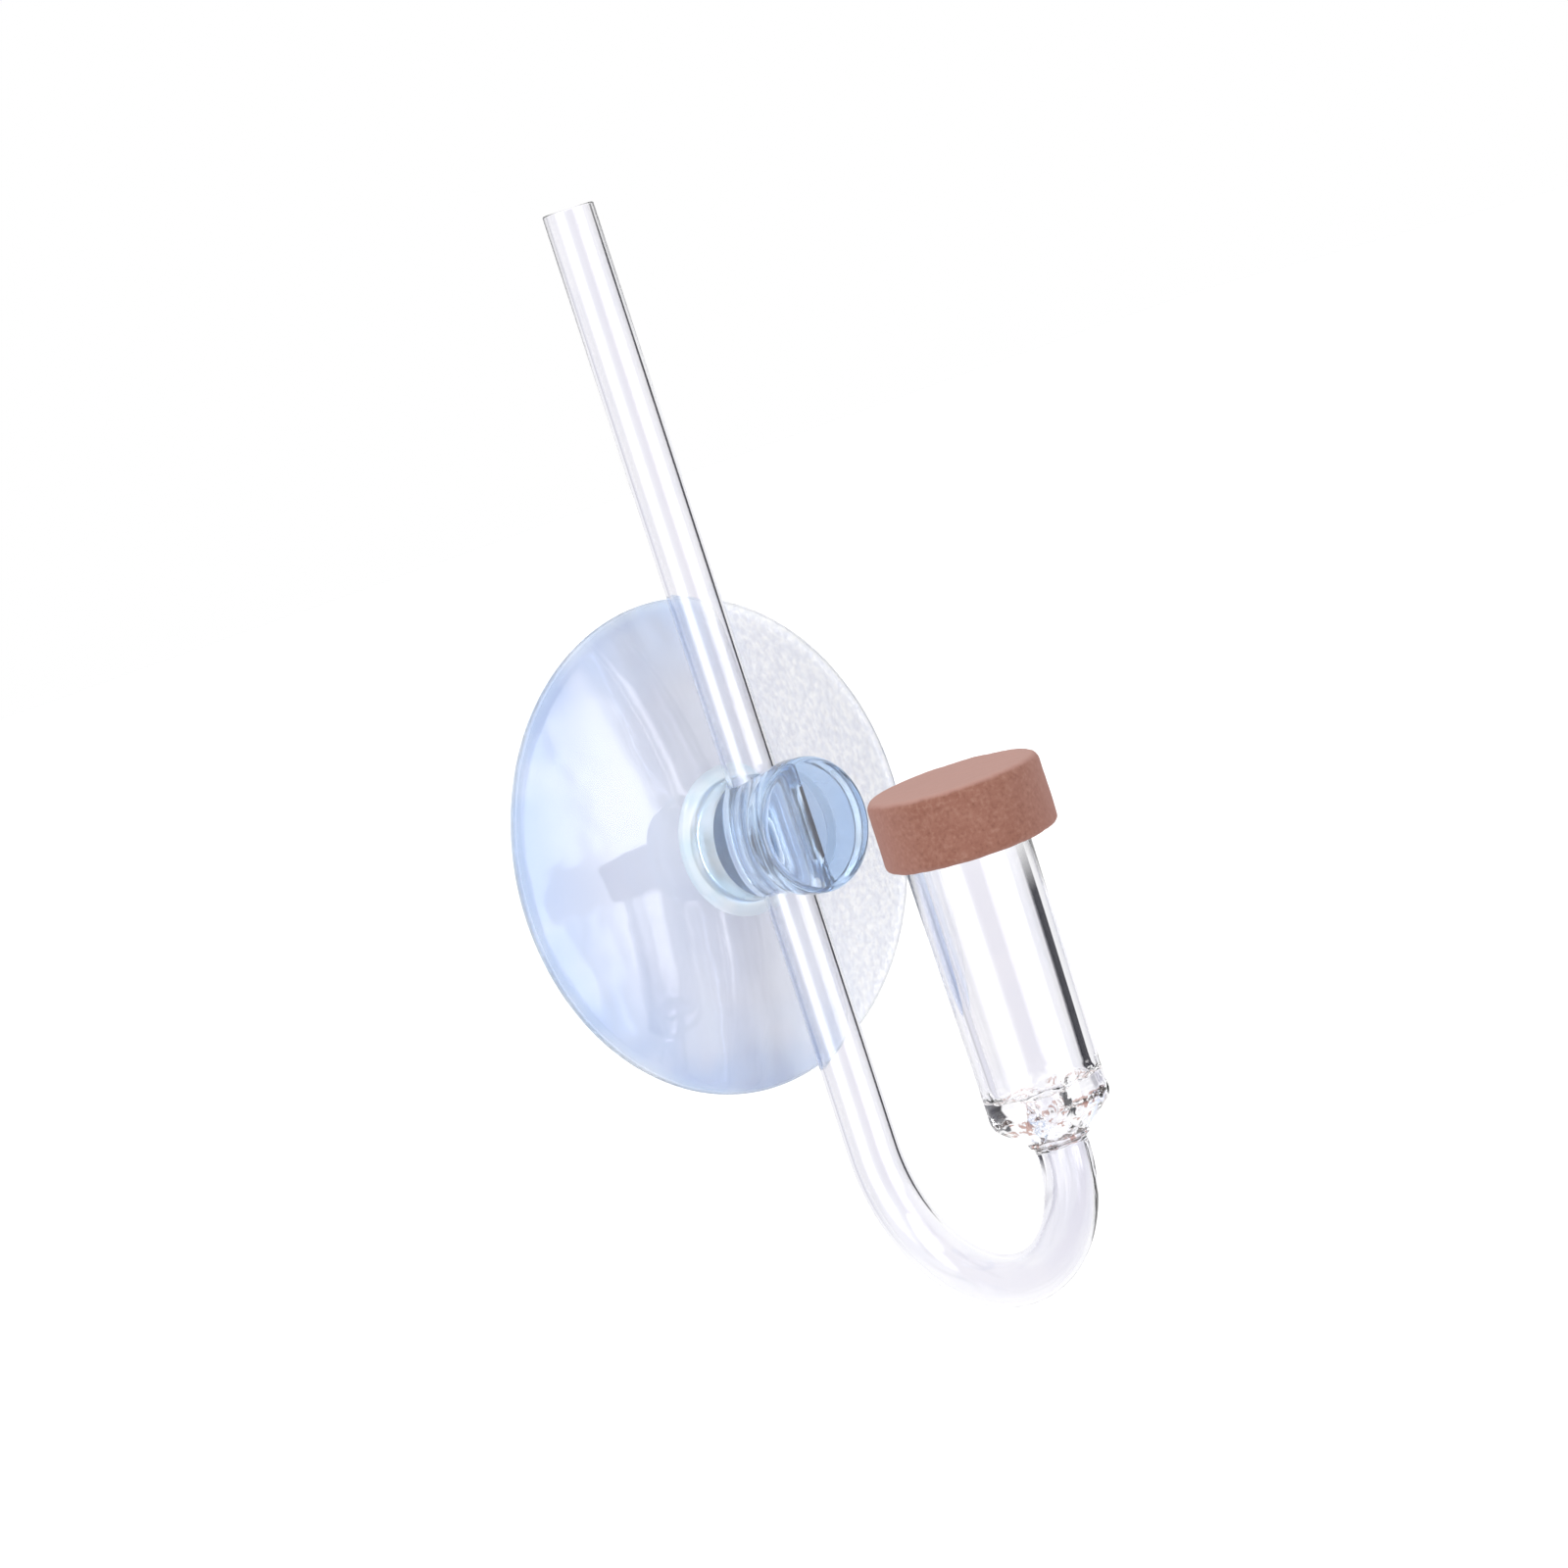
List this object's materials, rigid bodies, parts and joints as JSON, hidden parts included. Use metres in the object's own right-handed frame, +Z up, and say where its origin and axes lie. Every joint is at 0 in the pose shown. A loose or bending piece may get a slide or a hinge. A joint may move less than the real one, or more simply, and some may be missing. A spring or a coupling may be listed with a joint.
{
  "type": "carbon dioxide diffuser",
  "caption": "Glass J-shaped carbon dioxide diffuser for an aquarium, with a porous stone on its chamber and a suction cup whose knob grips the inlet tube.",
  "frame": {"origin": "centre of the suction cup's rim, in the plane of the tank wall that it sticks to", "axes": "+Y into the wall, along the suction cup's axis; +Z up, along the straight glass tube towards its hose end; +X to the right of someone who faces the wall"},
  "size_m": [0.0476, 0.0444, 0.1096],
  "materials": {
    "clear_glass": "polished clear",
    "soft_pvc": "glossy translucent pale blue",
    "porous_stone": "fine porous matt",
    "sealant": "clear gloss"
  },
  "bodies": {
    "cup": {"suction_cup": "soft_pvc"},
    "sliding_stem": {"stem_tube": "clear_glass"},
    "turning_glass": {"u_bend": "clear_glass", "diffusion_chamber": "clear_glass", "neck_collar": "clear_glass", "diffuser_stone": "porous_stone", "sealant_bead": "sealant"}
  },
  "joints": [
    {"name": "glass_slide", "type": "slide", "parent": "cup", "child": "sliding_stem", "axis": [0, 0, 1], "range_m": [-0.044, 0.022]},
    {"name": "glass_turn", "type": "hinge", "parent": "sliding_stem", "child": "turning_glass", "pos_m": [0, -0.00915, 0], "axis": [0, 0, 1], "range_deg": [-80, 80]}
  ]
}
